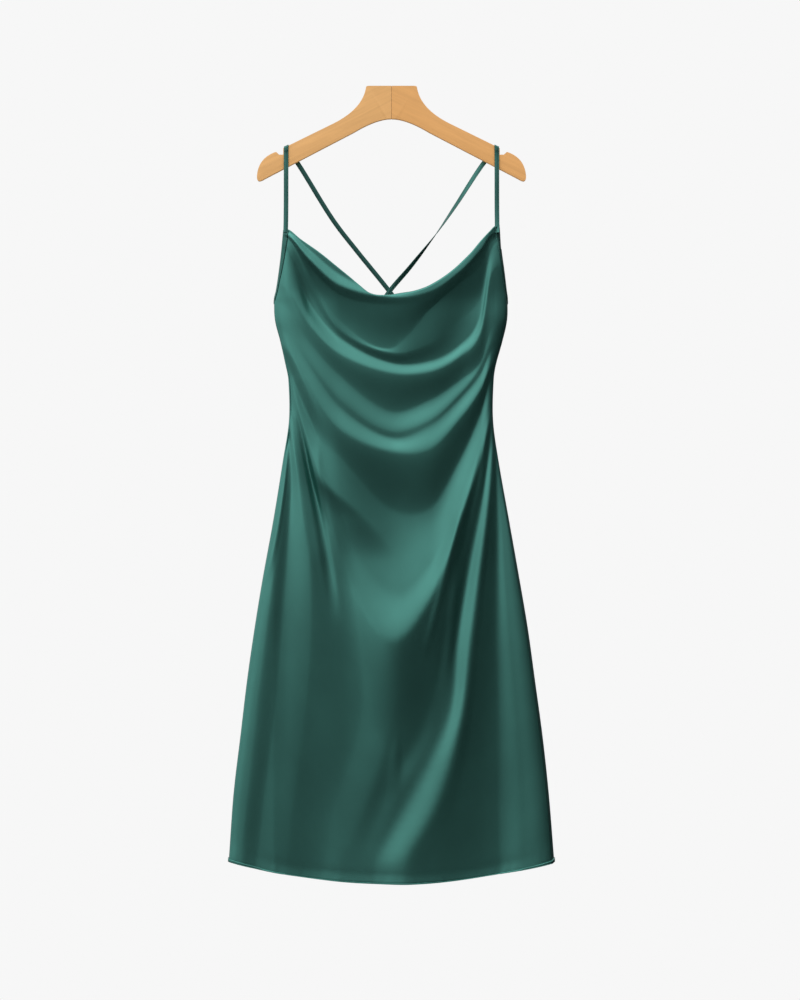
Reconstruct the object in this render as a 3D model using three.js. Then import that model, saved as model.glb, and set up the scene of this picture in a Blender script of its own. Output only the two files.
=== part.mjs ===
import * as THREE from 'three';

// A satin slip dress with a draped cowl front, hanging by its two straps from a wooden hanger.
// Millimetres, +Z up. +X is to the right of someone who faces the front, and the front faces -Y.
// The origin is the middle of the flat top of the hanger's neck, where its hook would stand.

// Cloth. The hem hangs lower in the middle than at the side seams.
const clothWall = 1.2;
const hemTurn = 9;
const hemWall = 2;
const hemSideZ = -1235;
const hemMiddleZ = -1273;
const seamGap = 0.3;

// Straps and bindings
const strapWidth = 7.5;
const strapThickness = 1.2;
const stepsBetweenPoints = 2;
const bindingWidth = 6.5;
const bindingThickness = 1;

// Hanger
const hangerThickness = 12;
const hangerEdgeRound = 1.5;
const hangerCurveSteps = 6;
const neckHalfWidth = 41;
const neckCorner = 4;

// Height of the underarm, where the side seams start, and how near a point of that height is
const underarmZ = -342;
const sameHeight = 0.5;

// Columns of facets across each panel, and how much closer they stand towards its sides: 0 for
// even columns, 1 for columns that stand as on a half circle seen from the side
const frontColumns = 40;
const backColumns = 26;
const columnCrowding = 0.5;

// Folds fade out this close to a side edge, as a share of the half width.
const foldFade = 0.04;

// How much of the slope between two fold lines is straight, which sharpens the lines
const crispness = 0.3;

// How far down the front's rings follow the neckline's own curve, in levels of frontRings
const necklineReach = 1.5;

const satin = { color: 0x2f6355, roughness: 0.35, metalness: 0, side: THREE.DoubleSide };
const satinEdge = { color: 0x35705f, roughness: 0.4, metalness: 0 };
const wood = { color: 0xd9a86c, roughness: 0.45, metalness: 0 };

// The outline seen from the front. Down to the underarm it is the front's armhole edge, which
// stands forward by edgeY, and below that it is the side seam. frontDepth and backDepth are how
// far the middle of each panel stands off the seams, and a low fullness brings the panel to that
// depth close to its sides.
const outline = [
  { z: -230, left: -172, right: 172, edgeY: -9, frontDepth: 26, backDepth: 22, fullness: 1.15 },
  { z: -262, left: -175, right: 175, edgeY: -7.5, frontDepth: 27, backDepth: 22, fullness: 1.1 },
  { z: -294, left: -179, right: 179.5, edgeY: -4.5, frontDepth: 28, backDepth: 22, fullness: 1.05 },
  { z: -326, left: -184, right: 183.5, edgeY: -1.2, frontDepth: 29, backDepth: 22, fullness: 0.98 },
  { z: -342, left: -187.5, right: 185.5, edgeY: 0, frontDepth: 29.5, backDepth: 22, fullness: 0.94 },
  { z: -374, left: -186.5, right: 185, edgeY: 0, frontDepth: 30, backDepth: 22, fullness: 0.87 },
  { z: -408, left: -178, right: 177.5, edgeY: 0, frontDepth: 30.5, backDepth: 22, fullness: 0.78 },
  { z: -446, left: -169.5, right: 167, edgeY: 0, frontDepth: 31, backDepth: 22, fullness: 0.7 },
  { z: -470, left: -165, right: 163.5, edgeY: 0, frontDepth: 31, backDepth: 22, fullness: 0.65 },
  { z: -534, left: -164, right: 162.5, edgeY: 0, frontDepth: 30, backDepth: 22, fullness: 0.6 },
  { z: -598, left: -173.5, right: 171, edgeY: 0, frontDepth: 29.5, backDepth: 22, fullness: 0.55 },
  { z: -694, left: -189, right: 188, edgeY: 0, frontDepth: 28.5, backDepth: 22, fullness: 0.5 },
  { z: -790, left: -206.5, right: 205, edgeY: 0, frontDepth: 27, backDepth: 22, fullness: 0.5 },
  { z: -870, left: -219.5, right: 218.5, edgeY: 0, frontDepth: 25.5, backDepth: 21, fullness: 0.5 },
  { z: -950, left: -231, right: 229.5, edgeY: 0, frontDepth: 24, backDepth: 20, fullness: 0.5 },
  { z: -1038, left: -241.5, right: 241.5, edgeY: 0, frontDepth: 22.5, backDepth: 19, fullness: 0.5 },
  { z: -1130, left: -252.5, right: 251.5, edgeY: 0, frontDepth: 21.5, backDepth: 18, fullness: 0.5 },
  { z: hemSideZ, left: -260, right: 260, edgeY: 0, frontDepth: 21, backDepth: 18, fullness: 0.5 },
];

// Rings of each panel, from its top edge to its hem. A ring hangs from sideZ at the sides to
// middleZ in the middle, with bend as the power of its droop, and rings is how many facets lie
// between it and the next row.
const frontRings = [
  { level: 0, sideZ: -230, middleZ: -335, bend: 1.4, rings: 6 },
  { level: 1, sideZ: -254, middleZ: -380, bend: 1.45, rings: 6 },
  { level: 2, sideZ: -282, middleZ: -425, bend: 1.6, rings: 5 },
  { level: 3, sideZ: -316, middleZ: -455, bend: 1.9, rings: 7 },
  { level: 4, sideZ: -358, middleZ: -518, bend: 2, rings: 7 },
  { level: 5, sideZ: -409, middleZ: -582, bend: 2, rings: 7 },
  { level: 6, sideZ: -500, middleZ: -705, bend: 1.9, rings: 8 },
  { level: 7, sideZ: -640, middleZ: -890, bend: 1.8, rings: 6 },
  { level: 8, sideZ: -900, middleZ: -1070, bend: 2, rings: 5 },
  { level: 9, sideZ: hemSideZ + hemTurn, middleZ: hemMiddleZ + hemTurn, bend: 2.2, rings: 1 },
  { level: 10, sideZ: hemSideZ, middleZ: hemMiddleZ, bend: 2.2, rings: 0 },
];

const backRings = [
  { level: 0, sideZ: -342, middleZ: -425, bend: 1.8, rings: 2 },
  { level: 1, sideZ: -362, middleZ: -445, bend: 1.8, rings: 4 },
  { level: 2, sideZ: -450, middleZ: -525, bend: 1.9, rings: 5 },
  { level: 3, sideZ: -620, middleZ: -690, bend: 2, rings: 5 },
  { level: 4, sideZ: -860, middleZ: -915, bend: 2, rings: 5 },
  { level: 5, sideZ: hemSideZ + hemTurn, middleZ: hemMiddleZ + hemTurn, bend: 2.2, rings: 1 },
  { level: 6, sideZ: hemSideZ, middleZ: hemMiddleZ, bend: 2.2, rings: 0 },
];

// The cowl's top edge, from one strap to the other
const neckline = [
  { x: -172, z: -230 },
  { x: -163, z: -231 },
  { x: -146, z: -245 },
  { x: -114, z: -268 },
  { x: -82, z: -294 },
  { x: -50, z: -320 },
  { x: -33, z: -333 },
  { x: -14, z: -336 },
  { x: 14, z: -332 },
  { x: 38, z: -328 },
  { x: 62, z: -319 },
  { x: 94, z: -298 },
  { x: 126, z: -268 },
  { x: 158, z: -232 },
  { x: 172, z: -230 },
];

// Fold lines of the front's cowl, in order from its top edge down. Each row gives the line's z at
// the x places of cowlX, and how far the cloth stands out from the plain body there.
const cowlX = [-164, -130, -82, -2, 62, 110, 142, 159];
const cowlLines = [
  { name: 'edge',
    z: [-230, -256, -294, -333, -320, -285, -249, -230],
    height: [-1, -3, -3, -1.5, -1, -1, -0.5, 0] },
  { name: 'roll foot',
    z: [-240, -278, -320, -339, -325, -291, -255, -235],
    height: [0, 0, 0, 0, 0, 0, 0, 0] },
  { name: 'first valley',
    z: [-246, -303, -376, -420, -402, -378, -326, -246],
    height: [-2, -9, -12, -10.5, -10.8, -11, -9, -2] },
  { name: 'lip',
    z: [-259, -316, -389, -427, -420, -403, -361, -254],
    height: [-2, -9.6, -12.2, -9.8, -9.3, -10, -7.4, -1.5] },
  { name: 'second valley',
    z: [-270, -347, -403, -443, -438, -413, -367, -259],
    height: [-3, -12.5, -14, -12.4, -11, -10.2, -6.8, -1] },
  { name: 'second ridge',
    z: [-329, -384, -430, -460, -458, -433, -395, -302],
    height: [0, -2.5, -8, -8, -6.5, -6.2, -2.2, 1.5] },
  { name: 'second hollow',
    z: [-361, -412, -464, -520, -502, -470, -441, -390],
    height: [-3, -6, -11.5, -13, -10.5, -9.5, -4.6, -1] },
  { name: 'third ridge',
    z: [-390, -443, -503, -553, -535, -493, -451, -414],
    height: [-3, -4, -7.5, -9, -6.8, -8, -4.6, -0.5] },
  { name: 'third valley',
    z: [-396, -449, -513, -562, -543, -499, -460, -422],
    height: [-3, -4, -7.5, -9.2, -6.6, -8, -4.6, -0.5] },
  { name: 'fourth ridge',
    z: [-425, -488, -550, -585, -581, -532, -487, -448],
    height: [-1, 0, -1, -3.5, -1, -2.5, -0.8, 1.5] },
  { name: 'fourth hollow',
    z: [-451, -545, -594, -675, -674, -596, -524, -470],
    height: [-4, -8, -5, -13, -8.5, -8, -4.8, -1] },
  { name: 'skirt rise',
    z: [-478, -585, -692, -808, -764, -655, -570, -505],
    height: [-3.5, -5, -2, 4, 3, 2, 1, 1] },
  { name: 'skirt ridge',
    z: [-502, -615, -766, -885, -822, -694, -605, -534],
    height: [-3, -2, 2, 19, 15.5, 11, 7, 3] },
  { name: 'run out',
    z: [-582, -726, -918, -1060, -1060, -850, -690, -582],
    height: [-5, -6, -2, 3, 4, 1, 0, 0] },
];

// Fold lines of the skirt, in order from left to right, with their x at the z places of skirtZ
const skirtZ = [-470, -518, -566, -630, -694, -758, -886, -1014, -1142, -1238];
const skirtLines = [
  { name: 'left edge',
    x: [-172, -172, -168, -171, -178, -186, -202, -217, -231, -242],
    height: [0, 0, 1, 2, 2.5, 2.5, 2.5, 2, 2.5, 3] },
  { name: 'left trough',
    x: [-168, -167, -163, -160, -163, -167, -177, -188, -204, -214],
    height: [0, -0.5, -1, -1.5, -1.5, -1.5, -1, -1, -1, -0.5] },
  { name: 'left ridge',
    x: [-164, -163, -158, -148, -140, -132, -124, -148, -166, -178],
    height: [0, 0.5, 1.5, 2.5, 4.5, 5.5, 5.5, 3, 2, 2] },
  { name: 'left hollow',
    x: [-160, -157, -145, -129, -112, -95, -66, -64, -98, -114],
    height: [0, -1.5, -4.5, -10, -15, -16, -10, -5, -2.5, -2] },
  { name: 'middle',
    x: [-120, -118, -114, -108, -40, 6, 12, 2, -12, -34],
    height: [0, 0, 0, 0, -1, -2.5, -1, 0, 0, 0] },
  { name: 'inner trough',
    x: [40, 50, 62, 78, 86, 90, 82, 54, 20, -9],
    height: [0, 0, 0, 0, -1, -2, -6, -7, -5, -3] },
  { name: 'inner ridge',
    x: [56, 66, 78, 94, 100, 102, 94, 76, 30, -3],
    height: [0, 0, 0, 0, -1, -2, -4.2, -3.6, -2.8, -1.5] },
  { name: 'right trough',
    x: [162, 160, 156, 146, 133, 121, 103, 87, 33, 0],
    height: [0, -1, -2.5, -4, -6, -7, -6, -4.4, -2.3, -1] },
  { name: 'right ridge',
    x: [166, 164, 162, 158, 152, 144, 128, 112, 84, 38],
    height: [0, 0, 0.5, 2, 3, 4, 5.5, 8, 8, 7] },
  { name: 'right shoulder',
    x: [168, 166, 164, 162, 157, 152, 140, 128, 103, 72],
    height: [0, 0, 0, 0.5, 0, -0.5, 1, 2, 2, 2.5] },
  { name: 'far trough',
    x: [170, 168, 166, 167, 168, 168, 168, 171, 171, 171],
    height: [0, 0, -1, -2.5, -4, -5.5, -7, -7, -7, -7] },
  { name: 'far ridge',
    x: [172, 170, 169, 174, 177, 180, 190, 201, 209, 209],
    height: [0, 0, 0, 0, 0, 0, 0.5, 1.5, 2, 2.5] },
  { name: 'right edge',
    x: [174, 174, 174, 182, 190, 197, 210, 224, 237, 246],
    height: [0, 0, 0, 1, 2.5, 3.5, 4.5, 5.5, 6.5, 7] },
];

// Fold lines of the back, in order from left to right, with their x at the z places of backZ
const backZ = [-425, -560, -758, -1014, -1238];
const backLines = [
  { name: 'left edge',
    x: [-158, -158, -186, -220, -242],
    height: [0, 1, 2, 2, 2] },
  { name: 'left trough',
    x: [-120, -126, -150, -176, -196],
    height: [0, -2, -3, -3, -3] },
  { name: 'left ridge',
    x: [-66, -80, -100, -118, -132],
    height: [0, 4, 5, 5, 5] },
  { name: 'left hollow',
    x: [-36, -44, -56, -66, -70],
    height: [0, -2, -3, -4, -4] },
  { name: 'middle ridge',
    x: [-4, -6, -4, 6, 18],
    height: [0, 3, 5, 6, 6] },
  { name: 'right hollow',
    x: [34, 38, 44, 60, 76],
    height: [0, -3, -4, -4, -4] },
  { name: 'right ridge',
    x: [68, 78, 96, 122, 140],
    height: [0, 4, 5, 5, 5] },
  { name: 'right trough',
    x: [122, 128, 148, 176, 198],
    height: [0, -2, -3, -3, -3] },
  { name: 'right edge',
    x: [158, 158, 186, 220, 242],
    height: [0, 1, 2, 2, 2] },
];

// The left strap, from the front's corner over the hanger and across the back to the far side of
// the back's top edge. lean tips the ribbon's width in the plane of the hanger, and turn rolls it
// about its own length, both in degrees.
const leftStrapRoute = [
  { x: -168.3, y: -11.6, z: -229.6, lean: 0, turn: 0 },
  { x: -168.3, y: -10.4, z: -190, lean: 0, turn: 0 },
  { x: -168.3, y: -8.6, z: -140, lean: 0, turn: 0 },
  { x: -168.3, y: -7, z: -108, lean: 4, turn: 0 },
  { x: -168.2, y: -7.15, z: -101.5, lean: 20, turn: 0 },
  { x: -168.1, y: -6.4, z: -96.5, lean: 26, turn: 0 },
  { x: -168, y: -3.4, z: -95.5, lean: 26, turn: 0 },
  { x: -168, y: 0, z: -95.5, lean: 26, turn: 0 },
  { x: -168, y: 3.4, z: -95.5, lean: 26, turn: 0 },
  { x: -167.6, y: 6.4, z: -96.5, lean: 27, turn: 0 },
  { x: -165.6, y: 7.2, z: -101.5, lean: 31, turn: 0 },
  { x: -150, y: 8.4, z: -122.7, lean: 34, turn: 0 },
  { x: -93, y: 12.6, z: -214, lean: 36, turn: 0 },
  { x: -55, y: 14.8, z: -263, lean: 36, turn: 0 },
  { x: -4, y: 17.2, z: -326, lean: 36, turn: 0 },
  { x: 40, y: 18.6, z: -386, lean: 36, turn: 0 },
  { x: 66, y: 19, z: -424, lean: 35, turn: 0 },
];

// The right strap mirrors it, and makes half a turn behind the neck
const rightStrapRoute = [
  { x: 168.3, y: -11.6, z: -229.6, lean: 0, turn: 0 },
  { x: 168.3, y: -10.4, z: -190, lean: 0, turn: 0 },
  { x: 168.3, y: -8.6, z: -140, lean: 0, turn: 0 },
  { x: 168.3, y: -7, z: -108, lean: -4, turn: 0 },
  { x: 168.2, y: -7.15, z: -101.5, lean: -20, turn: 0 },
  { x: 168.1, y: -6.4, z: -96.5, lean: -26, turn: 0 },
  { x: 168, y: -3.4, z: -95.5, lean: -26, turn: 0 },
  { x: 168, y: 0, z: -95.5, lean: -26, turn: 0 },
  { x: 168, y: 3.4, z: -95.5, lean: -26, turn: 0 },
  { x: 167.6, y: 6.4, z: -96.5, lean: -27, turn: 0 },
  { x: 165.6, y: 7.2, z: -101.5, lean: -31, turn: 0 },
  { x: 147, y: 8.6, z: -122.7, lean: -32, turn: 8 },
  { x: 102, y: 10.6, z: -191, lean: -34, turn: 45 },
  { x: 73, y: 12, z: -233, lean: -35, turn: 84 },
  { x: 30, y: 13.6, z: -288, lean: -36, turn: 150 },
  { x: -4, y: 14.8, z: -328, lean: -36, turn: 180 },
  { x: -40, y: 17.4, z: -384, lean: -36, turn: 180 },
  { x: -66, y: 19, z: -421, lean: -35, turn: 180 },
];

// The right half of the hanger's outline, from the middle of its neck to the middle of its arch.
// Each row is the end of one edge, and bendX and bendZ are the control point of a curved one.
const hangerEdges = [
  { edge: 'neck top', x: neckHalfWidth - neckCorner, z: 0 },
  { edge: 'neck corner', x: neckHalfWidth, z: -neckCorner, bendX: neckHalfWidth, bendZ: 0 },
  { edge: 'shoulder', x: 92, z: -59.8, bendX: 47, bendZ: -37 },
  { edge: 'arm', x: 173, z: -99.6 },
  { edge: 'notch inner wall', x: 173, z: -110 },
  { edge: 'notch floor', x: 179.5, z: -110 },
  { edge: 'notch outer wall', x: 184.5, z: -105.5 },
  { edge: 'arm end', x: 215, z: -144, bendX: 213, bendZ: -115 },
  { edge: 'tip', x: 203, z: -148.5, bendX: 216, bendZ: -157 },
  { edge: 'underside', x: 60, z: -74 },
  { edge: 'arch', x: 0, z: -52.3, bendX: 24, bendZ: -52.3 },
];

function clamp(value, low, high) {
  return Math.min(Math.max(value, low), high);
}

function smooth(share) {
  const t = clamp(share, 0, 1);
  return t * t * (3 - 2 * t);
}

// A smooth curve through the values at some places, which rise or fall all the way
function through(places, values, at) {
  const last = places.length - 1;
  const rising = places[last] > places[0] ? 1 : -1;
  let index = 0;
  while (index < last - 1 && (at - places[index + 1]) * rising > 0) {
    index += 1;
  }
  const slopeAt = (row) => {
    const before = Math.max(row - 1, 0);
    const after = Math.min(row + 1, last);
    return (values[after] - values[before]) / (places[after] - places[before]);
  };
  const span = places[index + 1] - places[index];
  const t = clamp((at - places[index]) / span, 0, 1);
  const leave = t * (1 - t) ** 2 * span * slopeAt(index);
  const arrive = t ** 2 * (1 - t) * span * slopeAt(index + 1);
  return values[index] + (values[index + 1] - values[index]) * smooth(t) + leave - arrive;
}

// Reads a named column of a table at a value between its rows.
function read(table, along, column, at) {
  return through(table.map((row) => row[along]), table.map((row) => row[column]), at);
}

// The outline's middle and half width at a height
function widthAt(z) {
  const left = read(outline, 'z', 'left', z);
  const right = read(outline, 'z', 'right', z);
  return { middle: (left + right) / 2, half: (right - left) / 2 };
}

// The height of the cloth between fold lines. axis names the lines' places, along is where to
// read them and across is the point's own place between them. The cloth is level on a line that
// stands above or below both its neighbours, and slopes smoothly through the others.
function foldHeight(stations, lines, axis, along, across) {
  const places = lines.map((line) => through(stations, line[axis], along));
  const heights = lines.map((line) => through(stations, line.height, along));
  const last = lines.length - 1;
  const slope = (k) => (heights[k + 1] - heights[k]) / (places[k + 1] - places[k]);
  const tilt = (k) => {
    if (k === 0 || k === last || slope(k - 1) * slope(k) <= 0) {
      return 0;
    }
    return 2 * slope(k - 1) * slope(k) / (slope(k - 1) + slope(k));
  };
  for (let k = 0; k < last; k += 1) {
    const span = places[k + 1] - places[k];
    const t = (across - places[k]) / span;
    if (t >= 0 && t < 1) {
      const rise = heights[k + 1] - heights[k];
      const bent = span * (tilt(k) * t * (1 - t) ** 2 - tilt(k + 1) * t ** 2 * (1 - t));
      return heights[k] + (1 - crispness) * (smooth(t) * rise + bent) + crispness * t * rise;
    }
  }
  const isBefore = (across - places[0]) * (places[1] - places[0]) < 0;
  return isBefore ? heights[0] : heights[last];
}

// How far a panel stands off its side edges at a point of its outline
function standOff(x, z, depthColumn, folds) {
  const width = widthAt(z);
  const share = clamp((x - width.middle) / width.half, -1, 1);
  const depth = read(outline, 'z', depthColumn, z);
  const fullness = read(outline, 'z', 'fullness', z);
  const fade = smooth((1 - Math.abs(share)) / foldFade);
  return depth * (1 - share * share) ** (fullness / 2) + folds * fade;
}

// One ring of a panel: points from the left side to the right, at a level of its ring table
function ringOf(rings, level, columns, place) {
  const sideZ = read(rings, 'level', 'sideZ', level);
  const middleZ = read(rings, 'level', 'middleZ', level);
  const bend = read(rings, 'level', 'bend', level);
  const width = widthAt(sideZ);
  const ring = [];
  for (let column = 0; column <= columns; column += 1) {
    const even = 2 * column / columns - 1;
    const share = THREE.MathUtils.lerp(even, Math.sin(Math.PI / 2 * even), columnCrowding);
    const x = width.middle + width.half * share;
    const z = sideZ + (middleZ - sideZ) * (1 - Math.abs(share) ** bend);
    ring.push(place(x, z, level));
  }
  return ring;
}

function panelRings(rings, columns, place) {
  const grid = [];
  for (const row of rings) {
    const count = Math.max(row.rings, 1);
    for (let step = 0; step < count; step += 1) {
      grid.push(ringOf(rings, row.level + step / count, columns, place));
    }
  }
  return grid;
}

// The front's upper rings take up the neckline's own curve, less and less further down.
function placeFront(x, z, level) {
  const top = frontRings[0];
  const share = clamp(Math.abs(x) / neckline.at(-1).x, 0, 1);
  const plainZ = top.sideZ + (top.middleZ - top.sideZ) * (1 - share ** top.bend);
  const follow = smooth(1 - level / necklineReach);
  const ownZ = z + follow * (read(neckline, 'x', 'z', x) - plainZ);
  const folds = foldHeight(cowlX, cowlLines, 'z', x, ownZ)
    + foldHeight(skirtZ, skirtLines, 'x', ownZ, x);
  const depth = standOff(x, ownZ, 'frontDepth', folds);
  const edgeY = read(outline, 'z', 'edgeY', ownZ);
  return new THREE.Vector3(x, edgeY - depth - seamGap / 2, ownZ);
}

function placeBack(x, z) {
  const folds = foldHeight(backZ, backLines, 'x', z, x);
  return new THREE.Vector3(x, standOff(x, z, 'backDepth', folds) + seamGap / 2, z);
}

// The outward direction at each point of a grid, from the facets around it. facing is -1 for a
// panel that faces the front and 1 for one that faces the back. Along a side seam it is sideways,
// so that the two panels' edges lie flat against each other.
function gridNormals(grid, facing, seamed) {
  const lastRow = grid.length - 1;
  const lastColumn = grid[0].length - 1;
  return grid.map((row, i) => row.map((point, j) => {
    if (seamed && (j === 0 || j === lastColumn) && point.z <= underarmZ + sameHeight) {
      return new THREE.Vector3(j === 0 ? -1 : 1, 0, 0);
    }
    const right = grid[i][Math.min(j + 1, lastColumn)];
    const left = grid[i][Math.max(j - 1, 0)];
    const upper = grid[Math.max(i - 1, 0)][j];
    const lower = grid[Math.min(i + 1, lastRow)][j];
    const across = new THREE.Vector3().subVectors(right, left);
    const down = new THREE.Vector3().subVectors(lower, upper);
    return down.cross(across).normalize().multiplyScalar(-facing);
  }));
}

// A closed wall between two grids of the same size
function wallBetween(outer, inner, facing) {
  const rows = outer.length;
  const columns = outer[0].length;
  const positions = [];
  for (const grid of [outer, inner]) {
    for (const row of grid) {
      for (const point of row) {
        positions.push(point.x, point.y, point.z);
      }
    }
  }
  const at = (side, i, j) => side * rows * columns + i * columns + j;
  const index = [];
  const quad = (a, b, c, d) => {
    if (facing < 0) {
      index.push(a, b, c, a, c, d);
    } else {
      index.push(a, c, b, a, d, c);
    }
  };
  for (let i = 0; i < rows - 1; i += 1) {
    for (let j = 0; j < columns - 1; j += 1) {
      quad(at(0, i, j), at(0, i + 1, j), at(0, i + 1, j + 1), at(0, i, j + 1));
      quad(at(1, i, j), at(1, i, j + 1), at(1, i + 1, j + 1), at(1, i + 1, j));
    }
  }
  for (let i = 0; i < rows - 1; i += 1) {
    const end = columns - 1;
    quad(at(0, i, 0), at(1, i, 0), at(1, i + 1, 0), at(0, i + 1, 0));
    quad(at(0, i, end), at(0, i + 1, end), at(1, i + 1, end), at(1, i, end));
  }
  for (let j = 0; j < columns - 1; j += 1) {
    const end = rows - 1;
    quad(at(0, 0, j), at(0, 0, j + 1), at(1, 0, j + 1), at(1, 0, j));
    quad(at(0, end, j), at(1, end, j), at(1, end, j + 1), at(0, end, j + 1));
  }
  const geometry = new THREE.BufferGeometry();
  geometry.setAttribute('position', new THREE.Float32BufferAttribute(positions, 3));
  geometry.setIndex(index);
  geometry.computeVertexNormals();
  return geometry;
}

function moved(grid, normals, distanceAt) {
  return grid.map((row, i) => row.map((point, j) => (
    point.clone().addScaledVector(normals[i][j], distanceAt(i))
  )));
}

// A panel is a cloth wall whose last ring or two is the turned hem.
function panelGeometry(grid, normals, facing) {
  const hemRing = grid.length - 2;
  const inner = moved(grid, normals, (i) => (i >= hemRing ? -hemWall : -clothWall));
  return wallBetween(grid, inner, facing);
}

// The point a given way along a run of points, and the outward direction there
function partWay(points, normals, distance) {
  let left = distance;
  for (let k = 0; k < points.length - 1; k += 1) {
    const step = points[k].distanceTo(points[k + 1]);
    if (left <= step) {
      const share = left / step;
      return {
        point: points[k].clone().lerp(points[k + 1], share),
        normal: normals[k].clone().lerp(normals[k + 1], share).normalize(),
      };
    }
    left -= step;
  }
  throw new Error('the run of points is too short');
}

// A band laid on a panel's edge: each run of points starts on the edge and goes inwards.
function bindingGeometry(runs, facing) {
  const shares = [0, 0.5, 1];
  const grid = [];
  const normals = [];
  for (const run of runs) {
    const places = shares.map((share) => partWay(run.points, run.normals, share * bindingWidth));
    grid.push(places.map((place) => place.point));
    normals.push(places.map((place) => place.normal));
  }
  const inner = moved(grid, normals, () => seamGap);
  const outer = moved(grid, normals, () => seamGap + bindingThickness);
  return wallBetween(outer, inner, facing);
}

// A flat ribbon along a route of points
function ribbonGeometry(route) {
  const path = new THREE.CatmullRomCurve3(
    route.map((row) => new THREE.Vector3(row.x, row.y, row.z)),
    false,
    'centripetal',
  );
  const outer = [];
  const inner = [];
  const last = route.length - 1;
  for (let step = 0; step <= stepsBetweenPoints * last; step += 1) {
    const row = Math.min(Math.floor(step / stepsBetweenPoints), last - 1);
    const between = step / stepsBetweenPoints - row;
    const share = (row + between) / last;
    const lean = THREE.MathUtils.lerp(route[row].lean, route[row + 1].lean, between);
    const turn = THREE.MathUtils.lerp(route[row].turn, route[row + 1].turn, between);
    const along = path.getTangent(share);
    const leanAngle = THREE.MathUtils.degToRad(lean);
    const across = new THREE.Vector3(Math.cos(leanAngle), 0, Math.sin(leanAngle));
    across.addScaledVector(along, -across.dot(along)).normalize();
    across.applyAxisAngle(along, THREE.MathUtils.degToRad(turn));
    const facing = new THREE.Vector3().crossVectors(across, along);
    const centre = path.getPoint(share);
    const corner = (side, face) => centre.clone()
      .addScaledVector(across, side * strapWidth / 2)
      .addScaledVector(facing, face * strapThickness / 2);
    outer.push([corner(-1, 1), corner(1, 1)]);
    inner.push([corner(-1, -1), corner(1, -1)]);
  }
  return wallBetween(outer, inner, 1);
}

// The hanger: a broad flat neck, two sloping arms with a notch for a strap near each rounded
// end, and an arch below. Its left half mirrors its right one.
function hangerGeometry() {
  const half = [new THREE.Vector2(0, 0)];
  for (const row of hangerEdges) {
    const start = half.at(-1);
    const end = new THREE.Vector2(row.x, row.z);
    if (row.bendX === undefined) {
      half.push(end);
    } else {
      const bend = new THREE.Vector2(row.bendX, row.bendZ);
      const curve = new THREE.QuadraticBezierCurve(start, bend, end);
      half.push(...curve.getPoints(hangerCurveSteps).slice(1));
    }
  }
  const mirrored = half.slice(1, -1).reverse().map((point) => new THREE.Vector2(-point.x, point.y));
  const geometry = new THREE.ExtrudeGeometry(new THREE.Shape([...half, ...mirrored]), {
    depth: hangerThickness - 2 * hangerEdgeRound,
    bevelThickness: hangerEdgeRound,
    bevelSize: hangerEdgeRound,
    bevelOffset: -hangerEdgeRound,
    bevelSegments: 1,
  });
  geometry.translate(0, 0, hangerEdgeRound - hangerThickness / 2);
  geometry.rotateX(Math.PI / 2);
  return geometry;
}

function addPiece(group, name, geometry, look) {
  const mesh = new THREE.Mesh(geometry, new THREE.MeshStandardMaterial(look));
  mesh.name = name;
  group.add(mesh);
}

const group = new THREE.Group();

const frontGrid = panelRings(frontRings, frontColumns, placeFront);
const frontNormals = gridNormals(frontGrid, -1, true);
addPiece(group, 'front_panel', panelGeometry(frontGrid, frontNormals, -1), satin);

const backGrid = panelRings(backRings, backColumns, placeBack);
const backNormals = gridNormals(backGrid, 1, true);
addPiece(group, 'back_panel', panelGeometry(backGrid, backNormals, 1), satin);

// Armhole bindings follow the front's side edges down to the underarm.
const armholeRows = frontGrid.filter((row) => row[0].z >= underarmZ).length;
for (const side of ['left', 'right']) {
  const runs = [];
  for (let i = 0; i < armholeRows; i += 1) {
    const points = [...frontGrid[i]];
    const normals = [...frontNormals[i]];
    if (side === 'right') {
      points.reverse();
      normals.reverse();
    }
    runs.push({ points, normals });
  }
  const facing = side === 'left' ? -1 : 1;
  addPiece(group, `armhole_binding_${side}`, bindingGeometry(runs, facing), satinEdge);
}

// The back's top edge has a binding of its own.
const backRuns = backGrid[0].map((_, j) => ({
  points: backGrid.map((row) => row[j]),
  normals: backNormals.map((row) => row[j]),
}));
addPiece(group, 'back_neck_binding', bindingGeometry(backRuns, -1), satinEdge);

addPiece(group, 'strap_left', ribbonGeometry(leftStrapRoute), satinEdge);
addPiece(group, 'strap_right', ribbonGeometry(rightStrapRoute), satinEdge);

addPiece(group, 'hanger', hangerGeometry(), wood);

export default group;
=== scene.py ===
import math

import bmesh
import bpy
import numpy as np
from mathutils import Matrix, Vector


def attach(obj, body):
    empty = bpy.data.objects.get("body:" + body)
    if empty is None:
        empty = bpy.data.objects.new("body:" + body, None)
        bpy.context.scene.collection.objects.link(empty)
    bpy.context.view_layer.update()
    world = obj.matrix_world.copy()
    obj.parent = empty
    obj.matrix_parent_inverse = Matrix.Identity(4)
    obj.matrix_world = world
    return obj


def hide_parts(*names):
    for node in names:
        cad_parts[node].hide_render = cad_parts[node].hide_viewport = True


# A satin slip dress with a draped cowl front, on a wooden hanger. The tables are in millimetres,
# in the frame's axes: +X right, the front towards -Y, +Z up, and the origin on the middle of the
# flat top of the hanger's neck. Meshes are made in metres.

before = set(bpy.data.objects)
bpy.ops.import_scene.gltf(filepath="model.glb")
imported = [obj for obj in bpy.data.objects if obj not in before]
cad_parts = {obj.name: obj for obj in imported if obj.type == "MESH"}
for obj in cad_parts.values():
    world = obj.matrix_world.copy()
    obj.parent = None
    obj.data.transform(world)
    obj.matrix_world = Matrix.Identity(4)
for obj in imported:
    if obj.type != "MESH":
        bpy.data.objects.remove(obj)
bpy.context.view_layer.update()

MM = 0.001


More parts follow.
